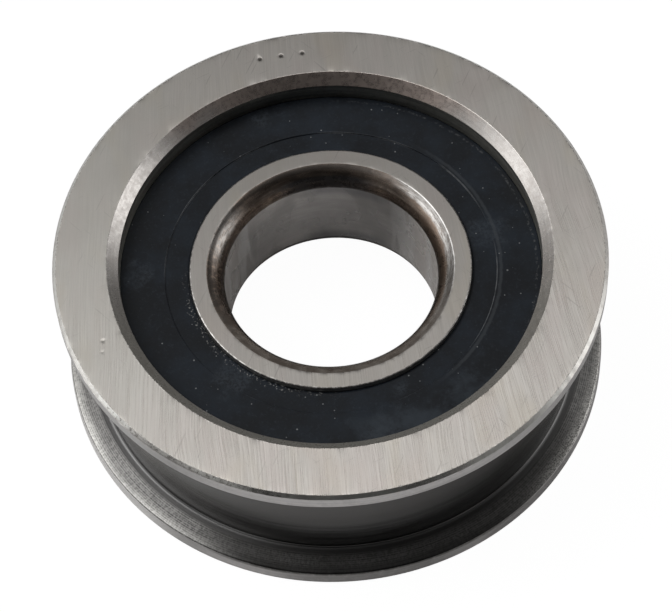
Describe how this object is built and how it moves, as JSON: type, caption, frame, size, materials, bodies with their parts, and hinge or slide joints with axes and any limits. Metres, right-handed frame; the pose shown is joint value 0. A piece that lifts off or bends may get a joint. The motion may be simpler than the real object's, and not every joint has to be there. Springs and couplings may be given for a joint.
{
  "type": "grooved cam follower roller",
  "caption": "Sealed track roller: a flanged outer ring with a flat track groove turns on balls around an inner ring with a plain bore.",
  "frame": {"origin": "centre of the bore at the roller's mid-plane", "axes": "+Z along the bore's axis, out of one end face; +X through the first ball"},
  "size_m": [0.09, 0.09, 0.0294],
  "materials": {
    "outer_steel": "surface-ground faces with fine straight grinding lines, turned flanks, oiled",
    "inner_steel": "ground, with brown heat-treatment scale in the rounded corners",
    "ball_steel": "lapped and polished",
    "cage_steel": "pressed mild steel",
    "rivet_steel": "headed mild steel",
    "seal_rubber": "moulded nitrile rubber, satin, slightly dusty",
    "insert_steel": "phosphated sheet steel"
  },
  "bodies": {
    "inner_ring": {"inner_ring": "inner_steel"},
    "outer_ring": {"outer_ring": "outer_steel", "seal_top_rubber": "seal_rubber", "seal_top_insert": "insert_steel", "seal_bottom_rubber": "seal_rubber", "seal_bottom_insert": "insert_steel"},
    "cage": {"cage_half_top": "cage_steel", "cage_half_bottom": "cage_steel", "cage_rivets": "rivet_steel"},
    "ball_1": {"ball_1": "ball_steel"},
    "ball_2": {"ball_2": "ball_steel"},
    "ball_3": {"ball_3": "ball_steel"},
    "ball_4": {"ball_4": "ball_steel"},
    "ball_5": {"ball_5": "ball_steel"},
    "ball_6": {"ball_6": "ball_steel"},
    "ball_7": {"ball_7": "ball_steel"},
    "ball_8": {"ball_8": "ball_steel"}
  },
  "joints": [
    {"name": "outer_spin", "type": "hinge", "parent": "inner_ring", "child": "outer_ring", "pos_m": [0, 0, 0], "axis": [0, 0, 1], "continuous": true},
    {"name": "cage_spin", "type": "hinge", "parent": "inner_ring", "child": "cage", "pos_m": [0, 0, 0], "axis": [0, 0, 1], "continuous": true},
    {"name": "ball_1_spin", "type": "hinge", "parent": "cage", "child": "ball_1", "pos_m": [0.02875, 0, 0], "axis": [0, 0, 1], "continuous": true},
    {"name": "ball_2_spin", "type": "hinge", "parent": "cage", "child": "ball_2", "pos_m": [0.02033, 0.02033, 0], "axis": [0, 0, 1], "continuous": true},
    {"name": "ball_3_spin", "type": "hinge", "parent": "cage", "child": "ball_3", "pos_m": [0, 0.02875, 0], "axis": [0, 0, 1], "continuous": true},
    {"name": "ball_4_spin", "type": "hinge", "parent": "cage", "child": "ball_4", "pos_m": [-0.02033, 0.02033, 0], "axis": [0, 0, 1], "continuous": true},
    {"name": "ball_5_spin", "type": "hinge", "parent": "cage", "child": "ball_5", "pos_m": [-0.02875, 0, 0], "axis": [0, 0, 1], "continuous": true},
    {"name": "ball_6_spin", "type": "hinge", "parent": "cage", "child": "ball_6", "pos_m": [-0.02033, -0.02033, 0], "axis": [0, 0, 1], "continuous": true},
    {"name": "ball_7_spin", "type": "hinge", "parent": "cage", "child": "ball_7", "pos_m": [0, -0.02875, 0], "axis": [0, 0, 1], "continuous": true},
    {"name": "ball_8_spin", "type": "hinge", "parent": "cage", "child": "ball_8", "pos_m": [0.02033, -0.02033, 0], "axis": [0, 0, 1], "continuous": true}
  ],
  "couplings": [
    {"joint": "cage_spin", "follows": "outer_spin", "ratio": 0.61734},
    {"joint": "ball_1_spin", "follows": "outer_spin", "ratio": 2.0132},
    {"joint": "ball_2_spin", "follows": "outer_spin", "ratio": 2.0132},
    {"joint": "ball_3_spin", "follows": "outer_spin", "ratio": 2.0132},
    {"joint": "ball_4_spin", "follows": "outer_spin", "ratio": 2.0132},
    {"joint": "ball_5_spin", "follows": "outer_spin", "ratio": 2.0132},
    {"joint": "ball_6_spin", "follows": "outer_spin", "ratio": 2.0132},
    {"joint": "ball_7_spin", "follows": "outer_spin", "ratio": 2.0132},
    {"joint": "ball_8_spin", "follows": "outer_spin", "ratio": 2.0132}
  ]
}
